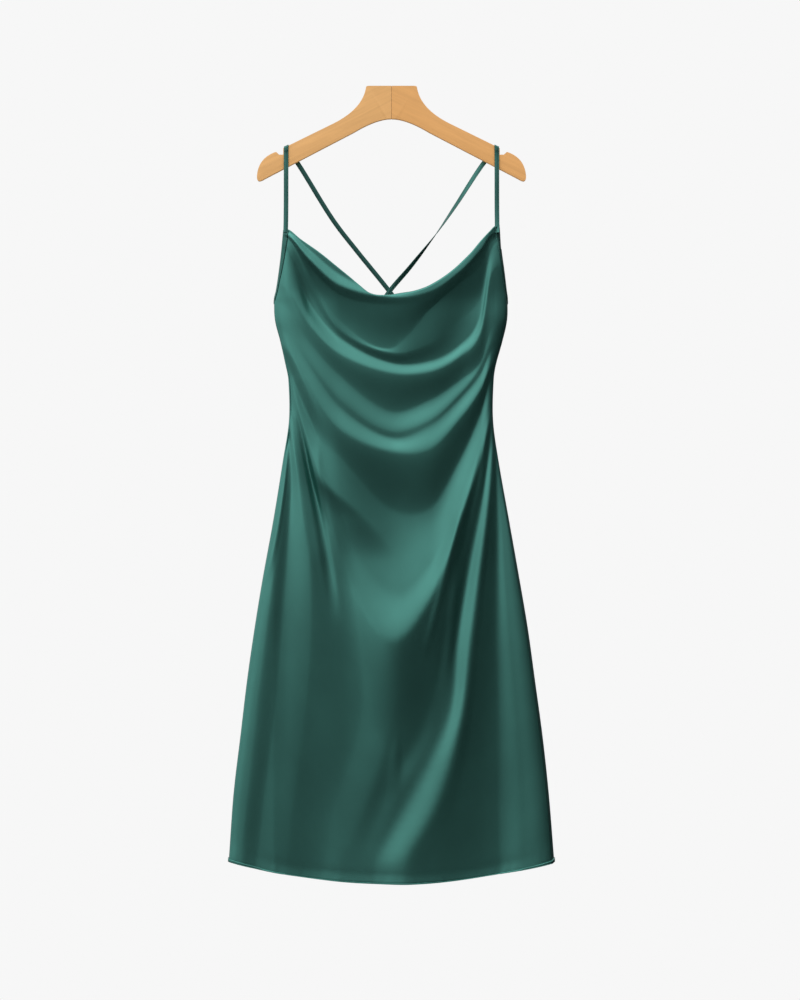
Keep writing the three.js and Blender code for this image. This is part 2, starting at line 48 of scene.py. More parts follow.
def table(columns, *rows):
    """Rows of numbers under named columns, as a dictionary of arrays."""
    values = np.array(rows, dtype=float)
    return {name: values[:, k] for k, name in enumerate(columns.split())}


# Sizes of the cloth and its edges
CLOTH = 0.45
SEAM_GAP = 0.06
UNDERARM_Z = -342
SAME_HEIGHT = 0.5

# The hem: its height at the sides and in the middle, the height of the ring above it, how wide
# it is turned up, how far the turned part stands out and how high it takes to do so, the depth
# and reach of the groove along its stitches, and the radius of its fold
HEM_SIDE_Z = -1235
HEM_MIDDLE_Z = -1273
HEM_RING = 16
HEM_TURN = 9
HEM_STAND_OUT = 0.5
HEM_RISE = 2.5
HEM_GROOVE = 0.6
HEM_GROOVE_REACH = 2.4
HEM_ROLL = 0.75

# Puckers along the hem's stitches: their height, how far they reach from the stitches, and two
# waves. A wave has its share of the height, its length and its swell's length for each radian,
# and where the wave and the swell start.
PUCKER_HEIGHT = 0.16
PUCKER_REACH = 12
PUCKER_WAVES = (
    (1, 2.3, 17, 0, 0),
    (0.6, 3.7, 29, 1, 2),
)

# Folds: the share of the half width over which they fade at a seam, how much of the ease between
# two fold lines is straight, which sharpens the lines, how much a drape widens along its length,
# and the share of its length over which it rises or runs out
FOLD_FADE = 0.022
CRISP = 0.3
DRAPE_WIDENING = 0.9
END_FADE = 0.3

# The share of the front's rows that follow the cowl's top edge
NECK_FOLLOW = 0.15

# Rows and columns of the panels' points
FRONT_ROWS = 222
FRONT_COLUMNS = 196
BACK_ROWS = 120
BACK_COLUMNS = 120

# The outline seen from the front: the front's armhole edge down to the underarm, and the side
# seam below it. The depths are how far each panel's middle stands off the seams.
OUTLINE = table(
    "z left right edge_y front_depth back_depth fullness",
    (-230, -172, 172, -9, 26, 22, 1.15),
    (-262, -175, 175, -7.5, 27, 22, 1.1),
    (-294, -179, 179.5, -4.5, 28, 22, 1.05),
    (-326, -184, 183.5, -1.2, 29, 22, 0.98),
    (-342, -187.5, 185.5, 0, 29.5, 22, 0.94),
    (-374, -186.5, 185, 0, 30, 22, 0.87),
    (-408, -178, 177.5, 0, 30.5, 22, 0.78),
    (-446, -169.5, 167, 0, 31, 22, 0.7),
    (-470, -165, 163.5, 0, 31, 22, 0.65),
    (-534, -164, 162.5, 0, 30, 22, 0.6),
    (-598, -173.5, 171, 0, 29.5, 22, 0.55),
    (-694, -189, 188, 0, 28.5, 22, 0.5),
    (-790, -206.5, 205, 0, 27, 22, 0.5),
    (-870, -219.5, 218.5, 0, 25.5, 21, 0.5),
    (-950, -231, 229.5, 0, 24, 20, 0.5),
    (-1038, -241.5, 241.5, 0, 22.5, 19, 0.5),
    (-1130, -252.5, 251.5, 0, 21.5, 18, 0.5),
    (HEM_SIDE_Z, -260, 260, 0, 21, 18, 0.5),
)

# Rings of a panel. A ring hangs from side_z at the sides to middle_z in the middle, with bend as
# the power of its droop, and share is how much of the panel's rows lies above it.
FRONT_RINGS = table(
    "share side_z middle_z bend",
    (0, -230, -335, 1.4),
    (0.1, -254, -380, 1.45),
    (0.22, -282, -425, 1.6),
    (0.32, -316, -455, 1.9),
    (0.44, -358, -518, 2),
    (0.55, -409, -582, 2),
    (0.68, -500, -705, 1.9),
    (0.8, -640, -890, 1.8),
    (0.9, -900, -1070, 2),
    (0.965, HEM_SIDE_Z + HEM_RING, HEM_MIDDLE_Z + HEM_RING, 2.2),
    (1, HEM_SIDE_Z, HEM_MIDDLE_Z, 2.2),
)
BACK_RINGS = table(
    "share side_z middle_z bend",
    (0, -342, -425, 1.8),
    (0.2, -450, -525, 1.9),
    (0.4, -620, -690, 2),
    (0.65, -860, -915, 2),
    (0.93, HEM_SIDE_Z + HEM_RING, HEM_MIDDLE_Z + HEM_RING, 2.2),
    (1, HEM_SIDE_Z, HEM_MIDDLE_Z, 2.2),
)

# The cowl's top edge, from one strap to the other
NECKLINE = table(
    "x z",
    (-172, -230),
    (-163, -231),
    (-146, -245),
    (-114, -268),
    (-82, -294),
    (-50, -320),
    (-33, -333),
    (-14, -336),
    (14, -332),
    (38, -328),
    (62, -319),
    (94, -298),
    (126, -268),
    (142, -249),
    (158, -232),
    (165, -225),
    (172, -222),
)

# Fold lines of the front's cowl, in order from its top edge down: the z of each line at the x
# places of COWL_X, and how far the cloth stands out from the plain body there.
COWL_X = (-188, -164, -130, -82, -2, 62, 110, 142, 159, 188)
COWL_LINES = (
    ("edge",
     (-230, -230, -256, -294, -333, -320, -285, -249, -228, -222),
     (-1.5, -1.8, -5, -5, -1.5, -1, -1.6, -1, 0, 0)),
    ("rim groove",
     (-232, -234, -263, -301.5, -335.5, -323, -288, -252, -231, -225),
     (-1.5, -1.8, -5, -5, -1, -0.7, -1.1, -0.7, 0, 0)),
    ("roll foot",
     (-236, -240, -279, -321, -339, -330, -297, -263, -239, -232),
     (-0.3, 0, 0, 0, 0, 0, 0, 0, 0, 0)),
    ("roll shadow",
     (-238, -243, -291, -336, -352, -341, -306, -271, -242, -234),
     (-0.5, -0.8, -4.8, -5, -2.2, -1.6, -1.8, -2, -0.8, -0.3)),
    ("first valley",
     (-242, -246, -303, -376, -420, -358, -316, -290, -250, -237),
     (-0.9, -1.6, -8.4, -12, -10.5, -6.2, -5, -4.4, -1.6, 0.6)),
    ("lip",
     (-251, -259, -316, -389, -427, -412, -374, -340, -262, -244),
     (-1.1, -2, -11.2, -12.4, -9.8, -9.3, -10.4, -7.2, -1.6, 1.8)),
    ("second valley",
     (-260, -270, -347, -403, -443, -440, -413, -367, -270, -250),
     (-1.4, -3, -16.4, -15, -12.4, -12.2, -11.4, -6.8, -1.2, 3.8)),
    ("second ridge",
     (-308, -329, -384, -430, -460, -458, -433, -395, -302, -288),
     (0, 0, -4.6, -8.4, -8.2, -8.4, -7.8, -2.8, 1.2, 8)),
    ("second hollow",
     (-343, -361, -412, -464, -520, -502, -470, -441, -390, -366),
     (-1.5, -3, -6, -11.5, -13, -12, -10.8, -5, -1, 6)),
    ("third ridge",
     (-374, -390, -443, -503, -553, -535, -493, -451, -414, -396),
     (-1.5, -3, -4, -7.5, -9, -6.8, -8, -4.6, -0.5, 3)),
    ("third valley",
     (-380, -396, -449, -513, -562, -543, -499, -460, -422, -402),
     (-1.5, -3, -4, -7.5, -9.2, -6.6, -8, -4.6, -0.5, 3)),
    ("fourth ridge",
     (-408, -425, -488, -550, -585, -581, -532, -487, -448, -430),
     (-0.5, -1, 0, -1, -3.5, -1, -2.5, -0.8, 1.5, 1)),
    ("fourth hollow",
     (-434, -451, -545, -594, -675, -674, -596, -524, -470, -450),
     (-2.5, -4, -8, -5, -13, -8.5, -8, -4.8, -1, -0.5)),
    ("skirt rise",
     (-458, -478, -585, -692, -808, -764, -655, -570, -505, -484),
     (-2.5, -3.5, -5, 0.5, 4, 3, 2, 1, 1, 0.5)),
    ("skirt ridge",
     (-482, -502, -615, -766, -885, -822, -694, -605, -534, -508),
     (-2, -3, -2, 4, 19, 15.5, 11, 7, 3, 2)),
    ("run out",
     (-550, -582, -726, -918, -1060, -1060, -850, -690, -582, -550),
     (-3, -5, -6, -2, 3, 4, 1, 0, 0, 0)),
)

# Fold lines of the skirt, in order from left to right: the x of each line at the z places of
# SKIRT_Z, and its height.
SKIRT_Z = (-470, -518, -566, -630, -694, -758, -886, -1014, -1142, -1238)
SKIRT_LINES = (
    ("left edge",
     (-172, -172, -168, -171, -178, -186, -202, -217, -231, -242),
     (0, 0, 1, 2, 2.5, 2.5, 2.5, 2, 2.5, 3)),
    ("left trough",
     (-168, -167, -163, -160, -163, -167, -177, -188, -204, -214),
     (0, -0.5, -1, -1.5, -1.5, -1.5, -1, -1, -1, -0.5)),
    ("left ridge",
     (-164, -163, -158, -148, -138, -129, -128, -138, -156, -168),
     (0, 0.5, 1.5, 2.5, 4.5, 5, 4.4, 3, 2, 2)),
    ("left hollow",
     (-160, -157, -145, -128, -104, -78, -50, -50, -90, -108),
     (0, -2, -5, -8.5, -11.5, -12.5, -7.5, -3.4, -2, -2)),
    ("middle",
     (-120, -118, -114, -108, -40, 6, 12, 2, -40, -80),
     (0, 0, 0, 0, -1, -2.5, -2.5, -1.2, -1, -1.2)),
    ("inner trough",
     (40, 50, 62, 78, 86, 90, 82, 52, -14, -46),
     (0, 0, 0, 0, -1, -2, -5.4, -5.4, -3, -1.6)),
    ("inner ridge",
     (56, 66, 78, 94, 100, 102, 94, 76, 10, -38),
     (0, 0, 0, 0, -1, -2, -2.8, -3, -2.6, -1.5)),
    ("right trough",
     (162, 160, 156, 146, 133, 121, 103, 88, 22, -30),
     (0, -1, -2.5, -4, -6, -7, -5, -2, -3.2, -1.4)),
    ("right ridge",
     (166, 164, 162, 158, 152, 144, 128, 112, 78, 24),
     (0, 0, 0.5, 2, 3, 4, 5.5, 8, 8, 7)),
    ("right shoulder",
     (168, 166, 164, 162, 157, 152, 140, 128, 100, 62),
     (0, 0, 0, 0.5, 0, -0.5, 1, 2, 2, 2.5)),
    ("far trough",
     (170, 168, 166, 167, 168, 168, 168, 171, 171, 171),
     (0, 0, -1, -2.5, -4, -5.5, -7, -7, -7, -7)),
    ("far ridge",
     (172, 170, 169, 174, 177, 180, 190, 201, 209, 209),
     (0, 0, 0, 0, 0, 0, 0.5, 1.5, 2, 2.5)),
    ("right edge",
     (174, 174, 174, 182, 190, 198, 214, 229, 242, 250),
     (0, 0, 1, 3.4, 5.6, 7.2, 8.6, 9.6, 10.4, 11)),
)

# Fold lines of the back, in order from left to right
BACK_Z = (-425, -560, -758, -1014, -1238)
BACK_LINES = (
    ("left edge", (-158, -158, -186, -220, -242), (0, 1, 2, 2, 2)),
    ("left trough", (-120, -126, -150, -176, -196), (0, -2, -3, -3, -3)),
    ("left ridge", (-66, -80, -100, -118, -132), (0, 4, 5, 5, 5)),
    ("left hollow", (-36, -44, -56, -66, -70), (0, -2, -3, -4, -4)),
    ("middle ridge", (-4, -6, -4, 6, 18), (0, 3, 5, 6, 6)),
    ("right hollow", (34, 38, 44, 60, 76), (0, -3, -4, -4, -4)),
    ("right ridge", (68, 78, 96, 122, 140), (0, 4, 5, 5, 5)),
    ("right trough", (122, 128, 148, 176, 198), (0, -2, -3, -3, -3)),
    ("right edge", (158, 158, 186, 220, 242), (0, 1, 2, 2, 2)),
)

# Small folds that run down a panel through three points. height is how far the fold stands out,
# or in where it is negative, and left and right are how far it spreads.
DRAPE_COLUMNS = "top_x top_z mid_x mid_z low_x low_z height left right"
FRONT_DRAPES = table(
    DRAPE_COLUMNS,
    (-160, -470, -120, -606, -66, -806, 3.6, 13, 18),
    (-156, -505, -121, -662, -86, -860, -4.5, 10, 9),
    (-165.5, -560, -179.5, -690, -204.5, -806, 1.5, 1.4, 7),
    (158, -534, 114, -726, 82, -854, -3, 12, 12),
    (113, -662, 83, -790, 46, -926, 1.5, 6, 8),
    (10, -1030, 6, -1085, 0, -1135, 1.2, 14, 12),
)
BACK_DRAPES = table(
    DRAPE_COLUMNS,
    (-150, -470, -126, -560, -84, -660, 1.8, 18, 24),
    (150, -470, 122, -570, 74, -680, 2, 24, 18),
)

# The cowl's top edge rolls inwards, with the roll's radius along it in a table. The back's top
# edge and the hems turn in the same way. Each turn has its steps, and the rows of the panel that
# the cloth goes on for inside.
ROLL = table(
    "x radius",
    (-172, 0.9),
    (-140, 1.1),
    (-60, 1.6),
    (60, 2.6),
    (140, 1.4),
    (172, 0.9),
)
BACK_ROLL = 0.3
ROLL_STEPS = 8
HEM_STEPS = 6
FRONT_ROLL_ROWS = 12
BACK_ROLL_ROWS = 1
HEM_ROWS = 5

# Straps: lean tips the ribbon's width in the plane of the hanger, and turn rolls it about its
# own length, both in degrees.
STRAP_COLUMNS = "x y z lean turn"
STRAP_ROUTES = {
    "strap_left": table(
        STRAP_COLUMNS,
        (-168.9, -15.3, -236, 2, 20),
        (-168.6, -13.6, -226, 0, 9),
        (-168.3, -10.4, -190, 0, 0),
        (-168.3, -8.6, -140, 0, 0),
        (-168.3, -7, -108, 4, 0),
        (-168.2, -7.15, -101.5, 20, 0),
        (-168.1, -6.4, -96.5, 26, 0),
        (-168, -3.4, -95.5, 26, 0),
        (-168, 0, -95.5, 26, 0),
        (-168, 3.4, -95.5, 26, 0),
        (-167.6, 6.4, -96.5, 27, 0),
        (-165.6, 7.2, -101.5, 31, 0),
        (-150, 8.4, -122.7, 34, 0),
        (-93, 12.6, -214, 36, 0),
        (-55, 14.8, -263, 36, 0),
        (-4, 17.2, -326, 36, 0),
        (40, 18.6, -386, 36, 0),
        (66, 19, -424, 35, 0),
    ),
    "strap_right": table(
        STRAP_COLUMNS,
        (168.9, -15.3, -236, -2, -20),
        (168.6, -13.6, -226, 0, -9),
        (168.3, -10.4, -190, 0, 0),
        (168.3, -8.6, -140, 0, 0),
        (168.3, -7, -108, -4, 0),
        (168.2, -7.15, -101.5, -20, 0),
        (168.1, -6.4, -96.5, -26, 0),
        (168, -3.4, -95.5, -26, 0),
        (168, 0, -95.5, -26, 0),
        (168, 3.4, -95.5, -26, 0),
        (167.6, 6.4, -96.5, -27, 0),
        (165.6, 7.2, -101.5, -31, 0),
        (147, 8.6, -122.7, -32, 8),
        (102, 10.6, -191, -34, 45),
        (73, 12, -233, -35, 84),
        (30, 13.6, -288, -36, 150),
        (-4, 14.8, -328, -36, 180),
        (-40, 17.4, -384, -36, 180),
        (-66, 19, -421, -35, 180),
    ),
}
STRAP_WIDTH = 7.5
STRAP_THICK = 1.1
STRAP_STEPS = 9

# Half of a strap's upper side, from its edge to its middle, as the way in from the edge and the
# share of half the thickness. It dips where it is stitched.
STRAP_TOP = (
    (0, 0),
    (0.15, 0.7),
    (0.5, 1),
    (0.95, 0.55),
    (1.5, 0.85),
    (STRAP_WIDTH / 2, 0.95),
)

# The folded strips that bind the edges: their width, and how far their inner and outer faces
# stand off the panel
BINDING_WIDTH = 6.8
ARMHOLE_BAND = table(
    "z width",
    (-230, 9.8),
    (-262, 9.8),
    (-290, 8.6),
    (-316, 6.6),
    (-342, 5),
)
BINDING_INNER = 0.25
BINDING_OUTER = 0.95

# A strip's section: the swell of its outer face from its stitched edge to its fold, the share of
# the inner distance that its inside keeps, where the round of its fold starts, in radians, and
# the points on that round
BINDING_SWELL = (0.3, 0.85, 1, 1, 1, 1)
BINDING_INSIDE = 0.6
BINDING_ROUND = 0.4
BINDING_ROUND_POINTS = 5

# The panel's columns at an armhole and its rows at the back's top edge that a strip lies over
ARMHOLE_COLUMNS = 24
BACK_NECK_ROWS = 14

# Stitches: a stitch is a short bar with blunt ends, in rings of points along its length. The
# lifts are how far its middle stands off a strip and off the hem.
STITCH_PITCH = 3.2
STITCH_LENGTH = 2.3
STITCH_RADIUS = 0.24
STITCH_INSET = 1.1
STITCH_RINGS = (-1, -0.7, 0, 0.7, 1)
STITCH_SIDES = 6
STITCH_BLUNT = 0.96
STITCH_AHEAD = 0.5
BINDING_STITCH_LIFT = 0.05
HEM_STITCH_LIFT = 0.12

# The panel's rows that the hem's stitches are placed from, and the columns left bare at a seam
HEM_STITCH_ROWS = 11
HEM_STITCH_BARE = 2

# The hanger. HANGER_SHARP is the angle in degrees past which an edge stays sharp, and faces that
# look forwards or backwards by more than HANGER_FLAT are shaded flat. The outline starts
# HANGER_GAP from the middle, and edges within HANGER_SQUARE of it aren't rounded.
HANGER_THICK = 12
HANGER_ROUND = 2.2
HANGER_ROUND_STEPS = 4
HANGER_SHARP = 35
HANGER_FLAT = 0.999
HANGER_GAP = 0.3
HANGER_SQUARE = 1.5 * HANGER_GAP
GLUE_GAP = 0.26
GLUE_DEPTH = 0.4
NECK_HALF_WIDTH = 41
NECK_CORNER = 4
ARCH_TOP_Z = -52.3

# The right half's outline as x and z, from the top of the glue line round to its foot. A run has
# a control point and a number of steps where it is a curve, and ends at its last point.
HANGER_RUNS = (
    ("neck top", None, 1, (NECK_HALF_WIDTH - NECK_CORNER, 0)),
    ("neck corner", (NECK_HALF_WIDTH, 0), 5, (NECK_HALF_WIDTH, -NECK_CORNER)),
    ("shoulder", (47, -37), 16, (92, -59.8)),
    ("arm top", None, 1, (173, -99.6)),
    ("notch side", None, 1, (173, -110)),
    ("notch floor", None, 1, (179.5, -110)),
    ("notch slope", None, 1, (184.5, -105.5)),
    ("tip top", (213, -115), 14, (215, -144)),
    ("tip foot", (216, -157), 10, (203, -148.5)),
    ("arm foot", None, 1, (60, -74)),
    ("arch", (24, ARCH_TOP_Z), 12, (HANGER_GAP, ARCH_TOP_Z)),
)

# Colours
SATIN_COLOUR = (0.085, 0.315, 0.27)
EDGE_COLOUR = (0.052, 0.192, 0.165)
# The thread is paler than the satin, partly as painted highlight: its stitches draw the light lines
# that the sheen makes along the strips' edges
THREAD_COLOUR = (0.2, 0.52, 0.44)
WOOD_COLOURS = {
    "hanger_left": (0.93, 0.51, 0.19),
    "hanger_right": (0.93, 0.48, 0.165),
}
GLUE_COLOUR = (0.5, 0.25, 0.09)

# The satin's slight change of tone along the cloth, and the wood's grain. A tone is a level of
# the pattern and the share of the plain colour there. The grain's slant is in radians and the
# size of its streaks in metres.
SATIN_TONES = ((0.3, 0.92), (0.7, 1.06))
GRAIN_TONES = ((0.32, 0.88), (0.68, 1))
GRAIN_SLANT = 0.46
GRAIN_SIZE = (0.09, 0.006, 0.006)

# A strip's girth on the cloth's pattern, in millimetres
TUBE_GIRTH = 20

# Surroundings. GROUND is the level of what shows behind the dress. WORLD_ENDS are the levels that
# the satin mirrors straight down and straight up, and WORLD_LEVELS are places between them, from
# 0 to 1, with their levels, in a sky that leans by WORLD_LEAN degrees. MATT_LEVELS are the even
# light's strengths from below and from above.
GROUND = 0.93
WORLD_ENDS = (0.005, 1)
WORLD_LEVELS = ((0.46, 0.01), (0.52, 0.145), (0.59, 0.55), (0.7, 0.95))
WORLD_STRENGTH = 0.9
WORLD_LEAN = 18
MATT_LEVELS = (0.25, 1.25)

# Lights, in metres and watts: a place, what it looks at, its width and height, and its power
LIGHTS = (
    ("key", (-1.0, -2.4, 1.9), (0, 0, -0.6), (2.4, 1.6), 12),
    ("side", (-2.6, -3.2, -0.6), (0, 0, -0.8), (1.6, 1.8), 3),
    ("back_key", (0.9, 2.6, 1.6), (0, 0, -0.7), (2.4, 1.6), 12),
)

# The floor, in metres
FLOOR_Z = -1.95
FLOOR_RADIUS = 1.0

# Camera: level, straight in front, and framed as the photograph is, at 1.6 mm a pixel
PIXEL = 1.6
FRAME_HEIGHT = 1000
VIEW_X = 13.6
VIEW_Z = -661.9
CAMERA_DISTANCE = 4400
SENSOR = 24


def make_camera():
    data = bpy.data.cameras.new("camera")
    data.sensor_fit = "VERTICAL"
    data.sensor_height = SENSOR
    data.lens = SENSOR * CAMERA_DISTANCE / (PIXEL * FRAME_HEIGHT)
    data.clip_end = 50
    camera = bpy.data.objects.new("camera", data)
    camera.location = Vector((VIEW_X, -CAMERA_DISTANCE, VIEW_Z)) * MM
    camera.rotation_euler = (math.pi / 2, 0, 0)
    bpy.context.scene.collection.objects.link(camera)
    bpy.context.scene.camera = camera


# Reading the tables

def smooth(share):
    t = np.clip(share, 0, 1)
    return t * t * (3 - 2 * t)


def through(places, values, at):
    """A smooth curve through the values at some places."""
    places = np.asarray(places, dtype=float)
    values = np.asarray(values, dtype=float)
    if places[0] > places[-1]:
        places, values = places[::-1], values[::-1]
    slopes = np.empty_like(values)
    slopes[1:-1] = (values[2:] - values[:-2]) / (places[2:] - places[:-2])
    slopes[0] = (values[1] - values[0]) / (places[1] - places[0])
    slopes[-1] = (values[-1] - values[-2]) / (places[-1] - places[-2])
    at = np.clip(at, places[0], places[-1])
    k = np.clip(np.searchsorted(places, at) - 1, 0, len(places) - 2)
    span = places[k + 1] - places[k]
    t = (at - places[k]) / span
    leave = t * (1 - t) ** 2 * span * slopes[k]
    arrive = t ** 2 * (1 - t) * span * slopes[k + 1]
    return values[k] + (values[k + 1] - values[k]) * smooth(t) + leave - arrive


def read(rows, along, column, at):
    """A column's value between the rows of a table."""
    return through(rows[along], rows[column], at)


def width_at(z):
    """The outline's middle and half width at a height."""
    left = read(OUTLINE, "z", "left", z)
    right = read(OUTLINE, "z", "right", z)
    return (left + right) / 2, (right - left) / 2


# The form of the panels

def ridge(distance, before, after):
    """A fold's section: 1 on its crest, 0 a full spread away."""
    return 1 - smooth(np.abs(distance) / np.where(distance < 0, before, after))


def line_heights(stations, lines, along, across):
    """The height between fold lines. Each line has a place and a height at every station. The
    cloth is level on a line that stands above or below both its neighbours, and slopes smoothly
    through the others."""
    places = np.array([through(stations, line[1], along) for line in lines])
    heights = np.array([through(stations, line[2], along) for line in lines])
    spans = np.diff(places, axis=0)
    slopes = np.diff(heights, axis=0) / spans
    level = np.zeros_like(slopes[:1])
    same_way = slopes[:-1] * slopes[1:]
    both = np.where(same_way > 0, slopes[:-1] + slopes[1:], 1)
    tilt = np.concatenate([level, np.where(same_way > 0, 2 * same_way / both, 0), level])
    total = np.where((across - places[0]) * spans[0] < 0, heights[0], heights[-1])
    for k in range(len(lines) - 1):
        t = (across - places[k]) / spans[k]
        inside = (t >= 0) & (t < 1)
        rise = heights[k + 1] - heights[k]
        bent = tilt[k] * t * (1 - t) ** 2 - tilt[k + 1] * t ** 2 * (1 - t)
        curve = smooth(t) * rise + bent * spans[k]
        total = np.where(inside, heights[k] + (1 - CRISP) * curve + CRISP * t * rise, total)
    return total


def drape_x(fold, z):
    """A drape's x at a height, on the curve of second degree through its three points."""
    zs = (fold["top_z"], fold["mid_z"], fold["low_z"])
    xs = (fold["top_x"], fold["mid_x"], fold["low_x"])
    total = 0
    for k in range(3):
        a, b = [zs[m] for m in range(3) if m != k]
        total = total + xs[k] * (z - a) * (z - b) / ((zs[k] - a) * (zs[k] - b))
    return total


def drape_heights(drapes, x, z):
    """How far a panel's drapes stand out at its points."""
    total = np.zeros_like(x)
    for row in zip(*drapes.values()):
        fold = dict(zip(drapes, row))
        crest_x = drape_x(fold, z)
        slope = drape_x(fold, z + 1) - crest_x
        distance = (x - crest_x) / np.hypot(1, slope)
        progress = (fold["top_z"] - z) / (fold["top_z"] - fold["low_z"])
        ends = smooth(progress / END_FADE) * smooth((1 - progress) / END_FADE)
        width = 1 + DRAPE_WIDENING * (np.clip(progress, 0, 1) - 0.5)
        total += fold["height"] * ends * ridge(distance, width * fold["left"], width * fold["right"])
    return total


def plain_depth(x, z, depth_column):
    """How far a panel without folds stands off its side edges."""
    middle, half = width_at(z)
    share = np.clip((x - middle) / half, -1, 1)
    depth = read(OUTLINE, "z", depth_column, z)
    fullness = read(OUTLINE, "z", "fullness", z)
    return depth * (1 - share ** 2) ** (fullness / 2), smooth((1 - np.abs(share)) / FOLD_FADE)


def front_depth(x, z):
    plain, fade = plain_depth(x, z, "front_depth")
    folds = line_heights(COWL_X, COWL_LINES, x, z) + line_heights(SKIRT_Z, SKIRT_LINES, z, x)
    return plain + fade * (folds + drape_heights(FRONT_DRAPES, x, z))


def back_depth(x, z):
    plain, fade = plain_depth(x, z, "back_depth")
    folds = line_heights(BACK_Z, BACK_LINES, z, x) + drape_heights(BACK_DRAPES, x, z)
    return plain + fade * folds


def ring_grid(rings, rows, columns):
    """x and z of a panel's points, row by row from its top edge to its hem."""
    share = np.linspace(0, 1, rows)[:, None]
    across = np.sin(np.pi / 2 * np.linspace(-1, 1, columns))[None, :]
    side_z = read(rings, "share", "side_z", share)
    middle_z = read(rings, "share", "middle_z", share)
    bend = read(rings, "share", "bend", share)
    middle, half = width_at(side_z)
    x = middle + half * across
    z = side_z + (middle_z - side_z) * (1 - np.abs(across) ** bend)
    return x, z, share + 0 * x


def hem_relief(x, z):
    """The turned hem stands out a little, with a groove along its stitches and small puckers.
    All of it fades at the seams."""
    above = z - z[-1:]
    off = np.abs(above - HEM_TURN)
    thick = HEM_STAND_OUT * smooth((HEM_TURN - above) / HEM_RISE)
    groove = HEM_GROOVE * (1 - smooth(off / HEM_GROOVE_REACH))
    pucker = sum(share * np.sin(x / length + start) * np.sin(x / swell + swell_start)
                 for share, length, swell, start, swell_start in PUCKER_WAVES)
    near = 1 - smooth(off / PUCKER_REACH)
    middle, half = width_at(z)
    inner = smooth((1 - np.abs(x - middle) / half) / FOLD_FADE)
    return inner * (thick - groove + PUCKER_HEIGHT * pucker * near)


def front_grid(rows, columns):
    x, z, share = ring_grid(FRONT_RINGS, rows, columns)
    top = {name: values[0] for name, values in FRONT_RINGS.items()}
    across = np.clip(np.abs(x) / NECKLINE["x"][-1], 0, 1)
    plain_z = top["side_z"] + (top["middle_z"] - top["side_z"]) * (1 - across ** top["bend"])
    follow = smooth(1 - share / NECK_FOLLOW)
    z = z + follow * (read(NECKLINE, "x", "z", x) - read(ROLL, "x", "radius", x) - plain_z)
    y = read(OUTLINE, "z", "edge_y", z) - front_depth(x, z) - SEAM_GAP / 2
    y = y - hem_relief(x, z)
    return np.stack([x, y, z], axis=-1)


def back_grid(rows, columns):
    x, z, _ = ring_grid(BACK_RINGS, rows, columns)
    y = back_depth(x, z) + hem_relief(x, z) + SEAM_GAP / 2
    return np.stack([x, y, z], axis=-1)


# Meshes

def unit(vectors):
    length = np.linalg.norm(vectors, axis=-1, keepdims=True)
    return vectors / np.maximum(length, 1e-9)


def grid_normals(grid, facing):
    """The outward direction at each point of a grid. facing is -1 for the front, 1 for the back."""
    down, across = np.gradient(grid, axis=(0, 1))
    return unit(np.cross(down, across)) * -facing


def seam_normals(grid, normals):
    """Along a side seam the cloth faces sideways, so that the panels' edges lie together."""
    seamed = grid[:, 0, 2] <= UNDERARM_Z + SAME_HEIGHT
    normals[seamed, 0] = (-1, 0, 0)
    normals[seamed, -1] = (1, 0, 0)
    return normals


def add_object(name, verts, faces, uvs=None):
    """A smooth mesh object from points and, if given, places on the cloth, in millimetres."""
    mesh = bpy.data.meshes.new(name)
    mesh.from_pydata((np.asarray(verts) * MM).tolist(), [], faces)
    mesh.polygons.foreach_set("use_smooth", [True] * len(mesh.polygons))
    if uvs is not None:
        layer = mesh.uv_layers.new(name="cloth")
        loops = np.empty(len(mesh.loops), dtype=np.int32)
        mesh.loops.foreach_get("vertex_index", loops)
        layer.data.foreach_set("uv", (np.asarray(uvs) * MM)[loops].ravel())
    mesh.update()
    obj = bpy.data.objects.new(name, mesh)
    bpy.context.scene.collection.objects.link(obj)
    return obj


def turn_faces_out(obj):
    """Makes every face of a closed mesh look outwards."""
    shape = bmesh.new()
    shape.from_mesh(obj.data)
    bmesh.ops.recalc_face_normals(shape, faces=shape.faces)
    shape.to_mesh(obj.data)
    shape.free()
    return obj


def shell(name, outer, inner, facing):
    """A closed cloth wall between two grids of the same size."""
    rows, columns = outer.shape[:2]
    index = np.arange(2 * rows * columns).reshape(2, rows, columns)
    o, n = index
    sheets = [
        np.stack([o[:-1, :-1], o[1:, :-1], o[1:, 1:], o[:-1, 1:]], axis=-1).reshape(-1, 4),
        np.stack([n[:-1, :-1], n[:-1, 1:], n[1:, 1:], n[1:, :-1]], axis=-1).reshape(-1, 4),
    ]
    for a, b in ((o[:, 0], n[:, 0]), (n[:, -1], o[:, -1]), (n[0], o[0]), (o[-1], n[-1])):
        sheets.append(np.stack([a[:-1], b[:-1], b[1:], a[1:]], axis=-1))
    faces = np.concatenate(sheets)
    if facing > 0:
        faces = faces[:, ::-1]
    run = np.linalg.norm(np.diff(outer, axis=1, prepend=outer[:, :1]), axis=-1).cumsum(axis=1)
    fall = np.linalg.norm(np.diff(outer, axis=0, prepend=outer[:1]), axis=-1).cumsum(axis=0)
    uv = np.stack([run - run[:, -1:] / 2, -fall], axis=-1).reshape(-1, 2)
    verts = np.concatenate([outer.reshape(-1, 3), inner.reshape(-1, 3)])
    return add_object(name, verts, faces.tolist(), np.concatenate([uv, uv]))


def turned(edge, out, beyond, radius, steps):
    """Rows of a half round turn inwards past an edge. beyond is the way off the edge."""
    angle = np.linspace(0, np.pi, steps + 1)[1:, None, None]
    return edge - radius * out + radius * (np.cos(angle) * out + np.sin(angle) * beyond)


